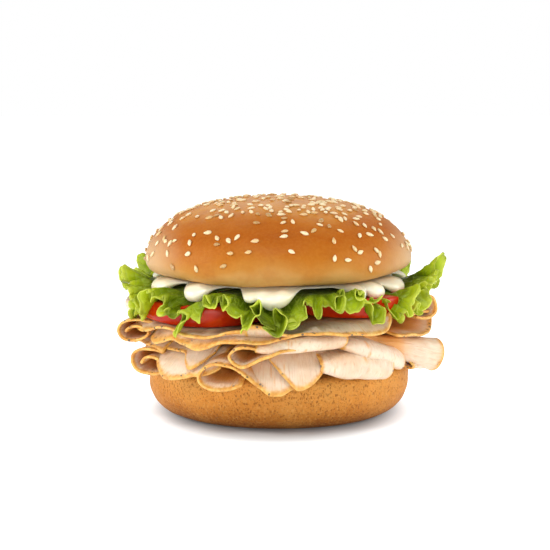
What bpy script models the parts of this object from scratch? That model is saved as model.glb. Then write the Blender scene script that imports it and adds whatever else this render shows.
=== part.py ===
"""A club sandwich in a sesame bun: heel, folded turkey, tomato, green-leaf lettuce, mayonnaise, crown.

Metres, +Z up. The origin is on the table under the middle of the sandwich, and the front looks along -Y.
Round places are given as a heading in degrees from the front, positive to the right, and a radius from
the bun's axis.
"""

import math

import bmesh
import bpy
from mathutils import Vector

MM = 0.001

# --- driving sizes
CROWN_RADIUS = 52.0 * MM
CROWN_HEIGHT = 28.9 * MM
HEEL_RADIUS = 51.0 * MM
HEEL_HEIGHT = 20.0 * MM
HEEL_FOOT_RADIUS = 39.0 * MM  # the flat spot that the sandwich stands on
HEEL_CORNER = 12.0 * MM
HEEL_SHOULDER = 3.0 * MM
CROWN_BASE = 54.5 * MM  # height of the crown's cut face
CROWN_LIP = 4.6 * MM  # height of the crown's widest line over its cut face

SLICE_THICKNESS = 1.35 * MM
PILE_BASE = 21.1 * MM  # middle of the lowest slice, over the heel
PILE_TOP_GAP = 1.1 * MM  # middle of the highest slice, under the tomato
GAP = 0.3 * MM

TOMATO_RADIUS = 26.0 * MM
LEAF_THICKNESS = 0.8 * MM
LEAF_LEVEL = 51.0 * MM
MAYO_LEVEL = 52.9 * MM
MAYO_HALF = 1.2 * MM
MAYO_RADIUS = 46.5 * MM  # between its wells

BUN_STEPS = 32
TOMATO_STEPS = 20
MERGE = 0.02 * MM


# --- helpers
def ease(x):
    """0 below 0, 1 above 1, and smooth between."""
    x = min(1.0, max(0.0, x))
    return x * x * (3.0 - 2.0 * x)


def blend(a, b, t):
    return a + (b - a) * t


def at(heading, radius, height):
    """The point at a heading in degrees from the front, a radius and a height."""
    turn = math.radians(heading)
    return Vector((radius * math.sin(turn), -radius * math.cos(turn), height))


def material(name, colour, roughness):
    made = bpy.data.materials.new(name)
    made.use_nodes = True
    surface = made.node_tree.nodes["Principled BSDF"]
    surface.inputs["Base Color"].default_value = (*colour, 1.0)
    surface.inputs["Roughness"].default_value = roughness
    surface.inputs["Metallic"].default_value = 0.0
    return made


def add_node(name, shape, finish):
    """One named object from a bmesh."""
    mesh = bpy.data.meshes.new(name)
    shape.to_mesh(mesh)
    shape.free()
    mesh.shade_smooth()
    mesh.materials.append(finish)
    made = bpy.data.objects.new(name, mesh)
    bpy.context.scene.collection.objects.link(made)
    return made


def spline(points, t):
    """A smooth curve through the points, at t from 0 to 1."""
    last = len(points) - 1
    place = min(max(t, 0.0), 1.0) * last
    i = min(int(place), last - 1)
    f = place - i
    around = (points[max(i - 1, 0)], points[i], points[i + 1], points[min(i + 2, last)])
    return tuple(
        b + 0.5 * ((c - a) * f + (2 * a - 5 * b + 4 * c - d) * f**2 + (3 * b - a - 3 * c + d) * f**3)
        for a, b, c, d in zip(*around)
    )


def even_steps(points, steps):
    """Steps + 1 values of t that cut a fold's end into stretches of nearly equal length."""
    fine = 200
    per_degree, per_level = 0.9, 24.0  # millimetres at the rim, near enough
    path = [spline(points, i / fine) for i in range(fine + 1)]
    along = [0.0]
    for a, b in zip(path, path[1:]):
        along.append(along[-1] + math.hypot((b[0] - a[0]) * per_degree, (b[1] - a[1]) * per_level))
    found = []
    i = 0
    for k in range(steps + 1):
        goal = along[-1] * k / steps
        while i < fine - 1 and along[i + 1] < goal:
            i += 1
        share = (goal - along[i]) / max(along[i + 1] - along[i], 1e-9)
        found.append((i + min(max(share, 0.0), 1.0)) / fine)
    return found


def turned(profile, steps):
    """A closed body turned about Z from (radius, height) points that start and end on the axis."""
    shape = bmesh.new()
    verts = [shape.verts.new((radius, 0.0, height)) for radius, height in profile]
    edges = [shape.edges.new(pair) for pair in zip(verts, verts[1:])]
    whole = {"angle": math.tau, "steps": steps, "use_merge": True}
    bmesh.ops.spin(shape, geom=verts + edges, cent=(0, 0, 0), axis=(0, 0, 1), **whole)
    bmesh.ops.remove_doubles(shape, verts=shape.verts, dist=MERGE)
    bmesh.ops.recalc_face_normals(shape, faces=shape.faces)
    return shape


def sheet(name, place, across, along, thickness, finish):
    """A closed sheet whose middle is place(u, v), with the u and v values listed in across and along."""
    shape = bmesh.new()
    bmesh.ops.create_grid(shape, x_segments=len(across) - 1, y_segments=len(along) - 1, size=0.5)
    for vert in shape.verts:
        i = round((vert.co.x + 0.5) * (len(across) - 1))
        j = round((vert.co.y + 0.5) * (len(along) - 1))
        vert.co = place(across[i], along[j])
    made = add_node(name, shape, finish)
    wall = made.modifiers.new("wall", "SOLIDIFY")
    wall.thickness = thickness
    wall.offset = 0.0
    return made


# --- bun
def swell(shape, amount, lobes, phase):
    """Takes the lathe look off a bun: its outline goes in and out a little."""
    for vert in shape.verts:
        turn = math.atan2(vert.co.y, vert.co.x)
        wave = math.sin(lobes * turn + phase) + 0.5 * math.sin((lobes + 2) * turn - phase)
        grow = 1.0 + amount * wave
        vert.co.x *= grow
        vert.co.y *= grow


def heel_profile():
    foot = [(0.0, 0.0), (HEEL_FOOT_RADIUS * 0.6, 0.0)]
    corner = []
    for k in range(5):
        turn = math.radians(90.0 * k / 4)
        corner.append((
            HEEL_FOOT_RADIUS + (HEEL_RADIUS - HEEL_FOOT_RADIUS) * math.sin(turn),
            HEEL_CORNER * (1.0 - math.cos(turn)),
        ))
    shoulder = []
    for k in range(3):
        turn = math.radians(90.0 * k / 2)
        shoulder.append((
            HEEL_RADIUS - HEEL_SHOULDER * (1.0 - math.cos(turn)),
            HEEL_HEIGHT - HEEL_SHOULDER * (1.0 - math.sin(turn)),
        ))
    return [*foot, *corner, *shoulder, (0.0, HEEL_HEIGHT)]


def crown_profile():
    """The domed top, its widest line, and the lip that turns in to the cut face."""
    rise = CROWN_HEIGHT - CROWN_LIP
    dome = []
    for k in range(9):
        turn = math.radians(90.0 * k / 8)
        dome.append((
            CROWN_RADIUS * math.sin(turn) ** 0.86,
            CROWN_BASE + CROWN_LIP + rise * math.cos(turn) ** 0.98,
        ))
    lip = []
    for k in range(1, 4):
        turn = math.radians(90.0 * k / 3)
        lip.append((
            CROWN_RADIUS - CROWN_LIP * 1.1 * (1.0 - math.cos(turn)),
            CROWN_BASE + CROWN_LIP * (1.0 - math.sin(turn)),
        ))
    return [*dome, *lip, (0.0, CROWN_BASE)]


def make_bun():
    crust = material("crust", (0.60, 0.28, 0.08), 0.5)
    base_crust = material("base_crust", (0.66, 0.34, 0.11), 0.6)
    heel = turned(heel_profile(), BUN_STEPS)
    swell(heel, 0.004, 3, 0.6)
    add_node("bun_heel", heel, base_crust)
    crown = turned(crown_profile(), BUN_STEPS)
    swell(crown, 0.004, 3, 1.9)
    add_node("bun_crown", crown, crust)


# --- tomato
# Middle of the lower face, thickness, forward tilt in degrees, and radius
TOMATO_SLICES = {
    "tomato_left": (Vector((-26.2, -15.5, 40.3)) * MM, 7.6 * MM, 5.0, TOMATO_RADIUS),
    "tomato_right": (Vector((27.0, -15.5, 42.4)) * MM, 6.9 * MM, 2.0, TOMATO_RADIUS),
    "tomato_back": (Vector((0.0, 29.0, 42.9)) * MM, 6.8 * MM, 0.0, TOMATO_RADIUS - 2.2 * MM),
}


def make_tomatoes():
    skin = material("tomato_skin", (0.62, 0.03, 0.01), 0.25)
    for name, (middle, thickness, tilt, radius) in TOMATO_SLICES.items():
        belly = 1.0 * MM
        edge = 0.8 * MM
        profile = [
            (0.0, 0.0),
            (radius - belly - edge, 0.0),
            (radius - 0.35 * belly, 0.22 * thickness),
            (radius, 0.5 * thickness),
            (radius - 0.35 * belly, 0.78 * thickness),
            (radius - belly - edge, thickness),
            (0.0, thickness),
        ]
        shape = turned(profile, TOMATO_STEPS)
        swell(shape, 0.006, 5, middle.x * 100)
        made = add_node(name, shape, skin)
        made.location = middle
        made.rotation_euler = (math.radians(tilt), 0.0, 0.0)


def tomato_roof(x, y, margin):
    """Height of the top of the tomato slice at a place, or 0 where there is none within the margin."""
    found = 0.0
    for middle, thickness, tilt, radius in TOMATO_SLICES.values():
        if math.hypot(x - middle.x, y - middle.y) < radius + margin:
            rise = (y - middle.y) * math.tan(math.radians(tilt))
            found = max(found, middle.z + thickness + rise)
    return found


def tomato_floor(x, y):
    """Height of the tomato's lower faces: one plane for the left slice and one for the others."""
    left, right = TOMATO_SLICES["tomato_left"], TOMATO_SLICES["tomato_right"]
    low_left = left[0].z + (y - left[0].y) * math.tan(math.radians(left[2]))
    low_right = right[0].z + (y - right[0].y) * math.tan(math.radians(right[2]))
    low_left = min(low_left, right[0].z)
    return blend(low_left, low_right, ease(x / (26.0 * MM) + 0.2))


# --- turkey
# The pile is laid out on its unrolled side: heading in degrees, and level from 0 on the heel to 1 under
# the tomato. A level over 1 is reached only outside the tomato's edge. Past the bun the layers sag.
SAG_START = 49.5 * MM
SAG_END = 60.0 * MM
SAG_LOW = 9.0 * MM  # at the rim of the lowest layer
SAG_HIGH = 6.0 * MM  # at the rim of the highest layer
SAG_LEAD = 6.0 * MM  # how much nearer the middle the highest layer starts to sag
RIM_WAVE = 1.1 * MM
CURL = (50.0 * MM, 5.0 * MM)  # where a curled-up edge starts, and how far out it takes to rise


def pile_point(heading, radius, level):
    """The place in the pile at a heading, a radius and a level."""
    layer = min(level, 1.0)
    start = SAG_START - SAG_LEAD * layer
    sag = blend(SAG_LOW, SAG_HIGH, layer) * ease((radius - start) / (SAG_END - start))
    wave = RIM_WAVE * level * ease((radius - 34.0 * MM) / (20.0 * MM))
    sag += wave * 0.5 * (1.0 + math.sin(math.radians(4.0 * heading + 40.0)))
    spot = at(heading, radius, 0.0)
    top = tomato_floor(spot.x, spot.y) - PILE_TOP_GAP
    curl = max(level - 1.0, 0.0) * ease((radius - CURL[0]) / CURL[1])
    spot.z = PILE_BASE + (layer + curl) * (top - PILE_BASE) - sag
    return spot


# Slices folded along a line that runs out from the middle, so that the end shows the fold as
# (heading, level) points.
# name: (reach in mm, where it starts in mm, points)
END_FOLDS = {
    "turkey_01": (54.5, 12.0, [
        (-12, 0.94), (0, 0.955), (14, 0.965), (30, 0.96), (41, 0.975), (47, 1.06), (48.5, 1.17),
    ]),
    "turkey_02": (54.0, 14.0, [
        (-72, 1.03), (-63, 0.94), (-54, 0.985), (-44, 0.94), (-33, 0.90), (-22, 0.945),
    ]),
    "turkey_03": (53.5, 10.0, [
        (-58, 0.79), (-48, 0.82), (-39, 0.79), (-30, 0.785), (-19, 0.80), (-6, 0.808), (8, 0.825),
        (31, 0.84),
    ]),
    "turkey_04": (55.5, 24.0, [
        (15, 0.441), (6, 0.434), (-4, 0.423), (-14, 0.42), (-21, 0.45), (-24.5, 0.54), (-23, 0.63),
        (-17, 0.66),
    ]),
    "turkey_05": (57.0, 26.0, [
        (-34, 0.03), (-36.5, 0.17), (-33, 0.30), (-26, 0.33), (-18, 0.25), (-10, 0.14), (-4, 0.03),
    ]),
    "turkey_06": (56.0, 20.0, [
        (-5.5, 0.27), (-2.5, 0.22), (0, 0.17), (5, 0.08), (9, 0.03),
    ]),
    "turkey_07": (58.0, 24.0, [
        (4.5, 0.285), (6.5, 0.245), (9, 0.195), (14, 0.16), (19, 0.25), (24, 0.39), (28, 0.50),
    ]),
    "turkey_08": (62.6, 24.0, [
        (95, 0.50), (85, 0.48), (75, 0.485), (68.5, 0.53), (70, 0.62), (78, 0.65), (88, 0.645),
        (96, 0.63),
    ]),
    "turkey_09": (59.0, 24.0, [
        (56, 0.76), (66, 0.74), (77, 0.745), (83.5, 0.80), (82, 0.875), (74, 0.895), (62, 0.89),
    ]),
    "turkey_10": (58.5, 26.0, [
        (58, 0.98), (70, 0.985), (80, 0.99), (88, 1.03), (93, 1.11),
    ]),
    "turkey_11": (62.6, 24.0, [
        (-66, 0.67), (-76, 0.685), (-87, 0.67), (-96, 0.68), (-98.5, 0.70), (-99.5, 0.735),
        (-98.5, 0.77), (-95, 0.79), (-86, 0.795), (-76, 0.79),
    ]),
    "turkey_12": (55.0, 10.0, [
        (-104, 0.53), (-94, 0.56), (-84, 0.51), (-74, 0.545), (-64, 0.555), (-54, 0.60), (-44, 0.65),
        (-34, 0.60), (-30, 0.54),
    ]),
    "turkey_13": (57.5, 26.0, [
        (-67, 0.34), (-77, 0.395), (-87, 0.40), (-95, 0.35), (-98, 0.24), (-92, 0.13), (-82, 0.09),
        (-72, 0.09),
    ]),
    "turkey_14": (54.5, 14.0, [
        (-62, 0.43), (-54, 0.455), (-46, 0.43), (-40, 0.455),
    ]),
    "turkey_20": (53.5, 12.0, [
        (100, 0.94), (113, 0.975), (127, 0.94), (141, 0.97), (152, 0.94),
    ]),
    "turkey_21": (57.0, 24.0, [
        (150, 0.60), (138, 0.575), (126, 0.56), (114, 0.56), (107, 0.49), (111, 0.38), (123, 0.35),
        (140, 0.39),
    ]),
    "turkey_22": (54.0, 12.0, [
        (160, 0.965), (174, 0.935), (188, 0.97), (203, 0.94), (217, 0.97), (234, 0.94),
    ]),
    "turkey_23": (58.0, 24.0, [
        (208, 0.52), (196, 0.50), (184, 0.49), (174, 0.43), (177, 0.33), (189, 0.30), (205, 0.32),
    ]),
    "turkey_24": (55.0, 12.0, [
        (216, 0.60), (227, 0.64), (238, 0.59), (251, 0.62),
    ]),
}

# Slices folded along a line that runs round the sandwich: the smooth bend faces out.
# name: (reach in mm, start in mm, heading from, heading to, level at each end, half the fold's level)
SIDE_FOLDS = {
    "turkey_15": (56.0, 14.0, 3, 38, 0.632, 0.695, 0.06),
    "turkey_16": (56.5, 14.0, 25, 61, 0.145, 0.135, 0.085),
    "turkey_17": (54.5, 14.0, 34, 83, 0.475, 0.29, 0.055),
    "turkey_18": (55.0, 14.0, -63, -41, 0.20, 0.20, 0.095),
    "turkey_19": (57.5, 14.0, -108, -77, 0.945, 0.945, 0.05),
    "turkey_25": (54.5, 14.0, 103, 151, 0.77, 0.77, 0.06),
    "turkey_26": (56.5, 14.0, 66, 104, 0.095, 0.095, 0.06),
    "turkey_27": (56.0, 14.0, 108, 158, 0.14, 0.14, 0.10),
    "turkey_28": (54.5, 14.0, 158, 212, 0.74, 0.74, 0.065),
    "turkey_29": (55.5, 14.0, 163, 206, 0.09, 0.09, 0.06),
    "turkey_30": (56.5, 14.0, 211, 253, 0.20, 0.19, 0.095),
    "turkey_31": (55.0, 14.0, 219, 250, 0.79, 0.76, 0.05),
    "turkey_32": (55.5, 14.0, 211, 253, 0.45, 0.455, 0.05),
}

# Every slice bends at the same radii, so that slices that lie on each other keep their gap.
BEND_RINGS = (44.0 * MM, 48.5 * MM)
BEND_LENGTH = 3.2 * MM
PILE_HEIGHT = 18.0 * MM
END_ACROSS = 8
SIDE_ACROSS = 4


def make_end_fold(name, reach, start, points, finish):
    """A slice from the middle to its rim, which is shorter at the slice's two sides."""

    def place(u, ring):
        heading, level = spline(points, u)
        rim = (reach - 3.5 * abs(2.0 * u - 1.0) ** 3) * MM
        radius = (start * MM, *BEND_RINGS, blend(BEND_RINGS[-1], rim, 0.5), rim)[ring]
        return pile_point(heading, radius, level)

    sheet(name, place, even_steps(points, END_ACROSS), range(5), SLICE_THICKNESS, finish)


def make_side_fold(name, reach, start, first, last, level_first, level_last, half, finish):
    """A slice that runs out as the upper leaf, bends over, and comes back in as the lower leaf."""
    # The bend is as long as it can be with an inside that doesn't pinch
    bend = min(BEND_LENGTH, (half * PILE_HEIGHT) ** 2 / (0.75 * SLICE_THICKNESS))
    leaf_rows, bend_rows = 4, 5
    last_row = 2 * leaf_rows + bend_rows - 1

    def place(u, row):
        rim = (reach - 5.0 * abs(2.0 * u - 1.0) ** 2.5) * MM
        if leaf_rows <= row < leaf_rows + bend_rows:
            turn = math.radians(90.0 - 180.0 * (row - leaf_rows) / (bend_rows - 1))
            radius = rim - bend + bend * math.cos(turn)
            side = math.sin(turn)
        else:
            ring = min(row, last_row - row)
            radius = (start * MM, *BEND_RINGS, blend(BEND_RINGS[-1], rim - bend, 0.5))[ring]
            side = 1.0 if row < leaf_rows else -1.0
        level = blend(level_first, level_last, u) + side * half
        return pile_point(blend(first, last, u), radius, level)

    steps = [i / SIDE_ACROSS for i in range(SIDE_ACROSS + 1)]
    sheet(name, place, steps, range(last_row + 1), SLICE_THICKNESS, finish)


def make_turkey():
    meat = material("turkey", (0.80, 0.66, 0.50), 0.5)
    for name, (reach, start, points) in END_FOLDS.items():
        make_end_fold(name, reach, start, points, meat)
    for name, sizes in SIDE_FOLDS.items():
        make_side_fold(name, *sizes, meat)


# --- lettuce and mayonnaise
# Where mayonnaise wells out: heading, half width in degrees, how far out in mm, how far down in mm
MAYO_WELLS = (
    (-3, 13, 7.0, 5.0),
    (-50, 9, 6.0, 4.0),
    (-76, 9, 6.0, 3.0),
    (37, 9, 6.0, 1.2),
    (62, 13, 7.0, 1.0),
    (106, 12, 5.5, 3.0),
    (140, 11, 6.0, 3.0),
    (222, 12, 5.5, 3.0),
)


def mayo_well(heading):
    """How far out and how far down the mayonnaise wells at a heading."""
    out = down = 0.0
    for middle, half, far, low in MAYO_WELLS:
        away = abs((heading - middle + 180.0) % 360.0 - 180.0) / half
        share = ease(1.6 - away)
        out = max(out, far * share)
        down = max(down, low * share)
    return out * MM, down * MM


def make_mayonnaise():
    """A flat lens under the crown, whose edge runs out and down over the lettuce at the wells."""
    cream = material("mayonnaise", (0.86, 0.80, 0.66), 0.25)
    shape = bmesh.new()
    bmesh.ops.create_uvsphere(shape, u_segments=48, v_segments=6, radius=1.0)
    for vert in shape.verts:
        level = min(1.0, max(-1.0, vert.co.z))
        wide = math.sqrt(1.0 - level * level)
        heading = math.degrees(math.atan2(vert.co.x, -vert.co.y))
        out, down = mayo_well(heading)
        radius = (MAYO_RADIUS + out) * wide**0.35 if wide > 1e-4 else 0.0
        outer = ease((radius - 46.0 * MM) / (6.0 * MM))
        height = MAYO_LEVEL + MAYO_HALF * level - down * outer * (0.72 - 0.35 * level)
        vert.co = at(heading, radius, height)
    bmesh.ops.recalc_face_normals(shape, faces=shape.faces)
    add_node("mayonnaise", shape, cream)


LEAVES = {
    "lettuce_1": (-99, -31),
    "lettuce_2": (-28, 41),
    "lettuce_3": (44, 112),
    "lettuce_4": (115, 186),
    "lettuce_5": (189, 258),
}
LEAF_REACH = 61.0 * MM
LEAF_ACROSS = 16
LEAF_RINGS = (30.0 * MM, 43.0 * MM, 47.0 * MM, 52.0 * MM, 57.0 * MM)


def leaf_height(heading, radius):
    """The leaf is level inside, has waves that grow towards its rim, and dips under the mayonnaise."""
    _, down = mayo_well(heading)
    turn = math.radians(heading)
    ruffle = 4.6 * math.sin(17.0 * turn + 0.6) + 2.4 * math.sin(29.0 * turn + 1.1) - 2.2
    outside = ease((radius - 50.0 * MM) / (9.0 * MM))
    slope = ease((radius - 40.0 * MM) / (11.0 * MM))
    free = max(1.0 - min(1.0, down / (3.0 * MM)), ease((radius - 53.5 * MM) / (4.0 * MM)))
    ruffle = blend(-4.0, ruffle, free)
    height = LEAF_LEVEL - slope * (1.0 * MM + 1.25 * down) + outside * ruffle * MM
    spot = at(heading, radius, 0.0)
    height = max(height, tomato_roof(spot.x, spot.y, 3.2 * MM) + 0.9 * MM)
    return min(height, LEAF_LEVEL + 0.1 * MM) if radius < 47.0 * MM else height


def make_lettuce():
    green = material("lettuce", (0.24, 0.45, 0.02), 0.4)
    for name, (first, last) in LEAVES.items():

        def place(u, ring, first=first, last=last):
            heading = blend(first, last, u)
            rim = LEAF_REACH + 1.5 * MM * math.sin(math.radians(23.0 * heading))
            rim -= 2.0 * MM * abs(2.0 * u - 1.0) ** 6
            radius = (*LEAF_RINGS, rim)[ring]
            return at(heading, radius, leaf_height(heading, radius))

        steps = [i / LEAF_ACROSS for i in range(LEAF_ACROSS + 1)]
        sheet(name, place, steps, range(6), LEAF_THICKNESS, green)


def main():
    for old in list(bpy.data.objects):
        bpy.data.objects.remove(old)
    make_bun()
    make_turkey()
    make_tomatoes()
    make_lettuce()
    make_mayonnaise()


main()
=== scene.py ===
# A turkey sandwich in a seeded bun. Lengths are in metres, and the front of the sandwich looks along -Y.
# A heading is an angle in degrees from the front, positive to the right.
import math
import random

import bmesh
import bpy
from mathutils import Matrix, Vector, noise


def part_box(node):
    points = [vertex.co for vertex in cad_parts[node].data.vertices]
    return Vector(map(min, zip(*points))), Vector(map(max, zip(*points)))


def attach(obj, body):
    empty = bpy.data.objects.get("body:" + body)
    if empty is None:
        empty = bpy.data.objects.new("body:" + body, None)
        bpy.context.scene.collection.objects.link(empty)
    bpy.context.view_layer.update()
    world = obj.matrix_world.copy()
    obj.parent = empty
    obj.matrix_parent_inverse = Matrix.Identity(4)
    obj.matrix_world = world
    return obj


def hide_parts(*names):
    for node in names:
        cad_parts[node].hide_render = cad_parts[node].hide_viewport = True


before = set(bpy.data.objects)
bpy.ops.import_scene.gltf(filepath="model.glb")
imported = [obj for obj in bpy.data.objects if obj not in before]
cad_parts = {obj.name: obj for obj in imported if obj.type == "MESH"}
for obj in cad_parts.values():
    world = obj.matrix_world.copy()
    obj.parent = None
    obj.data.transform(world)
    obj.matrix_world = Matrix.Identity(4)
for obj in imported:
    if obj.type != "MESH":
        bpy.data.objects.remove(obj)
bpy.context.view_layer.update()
mm = 0.001


# Shared shapes and sums

def ease(x):
    x = min(1.0, max(0.0, x))
    return x * x * (3.0 - 2.0 * x)


def blend(a, b, t):
    return a + (b - a) * t


def at(heading, radius, height):
    turn = math.radians(heading)
    return Vector((radius * math.sin(turn), -radius * math.cos(turn), height))


def awayFrom(heading, middle):  # the angle between two headings, 0 to 180
    return abs((heading - middle + 180.0) % 360.0 - 180.0)


def hump(heading, middle, half):  # 1 at the middle, 0 beyond the half width
    return ease(1.0 - awayFrom(heading, middle) / half)


def ripple(point, size, seed=0.0):  # smooth noise from about -1 to 1 with bumps of the given size
    return noise.noise(Vector(point) / size + Vector((seed, seed * 0.7, -seed)))


def spline(points, t):  # a smooth line through the points, for t from 0 to 1
    last = len(points) - 1
    place = min(max(t, 0.0), 1.0) * last
    i = min(int(place), last - 1)
    f = place - i
    p0, p1 = points[max(i - 1, 0)], points[i]
    p2, p3 = points[i + 1], points[min(i + 2, last)]
    return tuple(
        0.5 * (2 * b + (c - a) * f + (2 * a - 5 * b + 4 * c - d) * f * f + (3 * b - a - 3 * c + d) * f**3)
        for a, b, c, d in zip(p0, p1, p2, p3)
    )


def quarter(steps):  # angles over a quarter turn
    return [math.radians(90.0 * k / steps) for k in range(steps + 1)]


def turned(profile, steps):  # a closed round body from its (radius, height) outline
    shape = bmesh.new()
    verts = [shape.verts.new((radius, 0.0, height)) for radius, height in profile]
    edges = [shape.edges.new(pair) for pair in zip(verts, verts[1:])]
    bmesh.ops.spin(
        shape, geom=verts + edges, cent=(0, 0, 0), axis=(0, 0, 1), angle=math.tau, steps=steps, use_merge=True
    )
    bmesh.ops.remove_doubles(shape, verts=shape.verts, dist=0.01 * mm)
    bmesh.ops.recalc_face_normals(shape, faces=shape.faces)
    shape.normal_update()
    return shape


def finish(name, shape, look, nodes=()):
    mesh = bpy.data.meshes.new(name)
    shape.to_mesh(mesh)
    shape.free()
    mesh.shade_smooth()
    mesh.materials.append(look)
    made = bpy.data.objects.new(name, mesh)
    bpy.context.scene.collection.objects.link(made)
    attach(made, "root")
    if nodes:
        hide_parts(*nodes)
    return made


def sheet(across, along, place, marks):
    # a grid bent by place(u, v), with the values of marks(u, v) kept on its points
    shape = bmesh.new()
    bmesh.ops.create_grid(shape, x_segments=across, y_segments=along, size=0.5)
    names = list(marks(0.5, 0.5))
    layers = {name: shape.verts.layers.float.new(name) for name in names}
    for vert in shape.verts:
        u, v = vert.co.x + 0.5, vert.co.y + 0.5
        for name, value in marks(u, v).items():
            vert[layers[name]] = value
        vert.co = place(u, v)
    return shape


# Materials

def startLook(name):
    made = bpy.data.materials.new(name)
    made.use_nodes = True
    return made, made.node_tree, made.node_tree.nodes["Principled BSDF"]


def addNode(tree, kind, values=None, **settings):
    made = tree.nodes.new(kind)
    for key, value in settings.items():
        setattr(made, key, value)
    for key, value in (values or {}).items():
        if isinstance(value, bpy.types.NodeSocket):
            tree.links.new(value, made.inputs[key])
        else:
            made.inputs[key].default_value = value
    return made


def grain(tree, vector, scale, detail=3.0, roughness=0.55, distortion=0.0):
    values = {"Vector": vector, "Scale": scale, "Detail": detail}
    values.update({"Roughness": roughness, "Distortion": distortion})
    return addNode(tree, "ShaderNodeTexNoise", values).outputs["Fac"]


def cells(tree, vector, scale, feature="F1"):
    values = {"Vector": vector, "Scale": scale}
    return addNode(tree, "ShaderNodeTexVoronoi", values, feature=feature).outputs["Distance"]


def sums(tree, operation, first, second=0.0, third=0.0, clamp=False):
    return addNode(
        tree, "ShaderNodeMath", {0: first, 1: second, 2: third}, operation=operation, use_clamp=clamp
    ).outputs[0]


def centred(tree, value, size):  # a grain moved to lie round zero
    return sums(tree, "MULTIPLY", sums(tree, "SUBTRACT", value, 0.5), size)


def span(tree, value, low, high, toLow=0.0, toHigh=1.0):
    values = {"Value": value, "From Min": low, "From Max": high, "To Min": toLow, "To Max": toHigh}
    return addNode(tree, "ShaderNodeMapRange", values, interpolation_type="SMOOTHSTEP").outputs["Result"]


def tint(tree, factor, first, second, mode="MIX"):
    made = tree.nodes.new("ShaderNodeMix")
    made.data_type = "RGBA"
    made.blend_type = mode
    for key, value in ((0, factor), (6, first), (7, second)):
        if isinstance(value, bpy.types.NodeSocket):
            tree.links.new(value, made.inputs[key])
        elif key == 0:
            made.inputs[key].default_value = value
        else:
            made.inputs[key].default_value = (*value, 1.0)
    return made.outputs[2]


def shades(tree, factor, stops):
    made = addNode(tree, "ShaderNodeValToRGB", {"Fac": factor})
    band = made.color_ramp
    while len(band.elements) < len(stops):
        band.elements.new(0.5)
    for element, (place, colour) in zip(band.elements, stops):
        element.position = place
        element.color = (*colour, 1.0)
    return made.outputs["Color"]


def objectPlace(tree, scale=(1, 1, 1), shift=(0, 0, 0)):
    place = addNode(tree, "ShaderNodeTexCoord").outputs["Object"]
    return addNode(tree, "ShaderNodeMapping", {"Vector": place, "Scale": scale, "Location": shift}).outputs[0]


def mark(tree, name):  # a value that the mesh keeps on its points
    return addNode(tree, "ShaderNodeAttribute", attribute_name=name).outputs["Fac"]


def onSheet(tree):  # a point's place along and across its sheet
    values = {"X": mark(tree, "along"), "Y": mark(tree, "across")}
    return addNode(tree, "ShaderNodeCombineXYZ", values).outputs[0]


def relief(tree, surface, height, strength, distance):
    bump = addNode(tree, "ShaderNodeBump", {"Height": height, "Strength": strength, "Distance": distance})
    tree.links.new(bump.outputs[0], surface.inputs["Normal"])


def setSurface(surface, **values):
    for key, value in values.items():
        surface.inputs[key.replace("_", " ")].default_value = value


# Camera, light and floor

camera = {"elevation": 7.0, "distance": 0.60, "lens": 100.0, "aim": (-1.5 * mm, 0.0, 52.5 * mm)}


def makeCamera():
    made = bpy.data.objects.new("camera", bpy.data.cameras.new("camera"))
    made.data.lens = camera["lens"]
    made.data.sensor_width = 36.0
    made.data.clip_start = 0.01
    rise = math.radians(camera["elevation"])
    aim = Vector(camera["aim"])
    made.location = aim + camera["distance"] * Vector((0.0, -math.cos(rise), math.sin(rise)))
    made.rotation_euler = (math.radians(90.0 - camera["elevation"]), 0.0, 0.0)
    bpy.context.scene.collection.objects.link(made)
    bpy.context.scene.camera = made


# name: place, size, power and colour of each soft lamp
lamps = {
    "lampLeft": ((-0.55, -0.10, 0.26), 0.34, 1.75, (1.0, 0.97, 0.92)),
    "lampRight": ((0.55, -0.05, 0.24), 0.34, 1.6, (1.0, 0.97, 0.93)),
    "lampTop": ((-0.10, -0.34, 0.62), 0.22, 1.6, (1.0, 0.98, 0.94)),
    "lampFront": ((0.04, -0.85, 0.10), 0.50, 2.5, (1.0, 0.98, 0.95)),
    "lampBack": ((0.0, 0.60, 0.45), 0.50, 0.9, (1.0, 0.98, 0.96)),
}
lampAim = Vector((0.0, 0.0, 45.0 * mm))
skyGlow = 0.34  # how brightly the sky lights the scene; the camera sees it at 1


def makeLight():
    for name, (place, size, power, colour) in lamps.items():
        lamp = bpy.data.lights.new(name, "AREA")
        lamp.shape = "DISK"
        lamp.size = size
        lamp.energy = power
        lamp.color = colour
        made = bpy.data.objects.new(name, lamp)
        made.location = place
        made.rotation_euler = (lampAim - Vector(place)).to_track_quat("-Z", "Y").to_euler()
        bpy.context.scene.collection.objects.link(made)
    sky = bpy.data.worlds.new("studio")
    bpy.context.scene.world = sky
    sky.use_nodes = True
    tree = sky.node_tree
    seen = addNode(tree, "ShaderNodeLightPath").outputs["Is Camera Ray"]
    values = {"Value": seen, "To Min": skyGlow, "To Max": 1.0}
    strength = addNode(tree, "ShaderNodeMapRange", values).outputs[0]
    tree.nodes["Background"].inputs["Color"].default_value = (1.0, 1.0, 1.0, 1.0)
    tree.links.new(strength, tree.nodes["Background"].inputs["Strength"])
    bpy.context.scene.view_settings.view_transform = "Standard"


floor = {
    "half": 6.0,
    # a bluish grey that shows only in the painted shadow patch round the sandwich
    "colour": (0.50, 0.53, 0.56, 1.0),
    "shade": (50.0 * mm, 76.0 * mm),  # the floor glows up to white between these distances, painting the edge of a shadow patch round the sandwich
    "squeeze": 1.32,  # the painted shadow patch is this many times narrower from left to right
    "glow": (0.04, 1.0),  # glow in the painted shadow patch and beyond it
}


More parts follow.
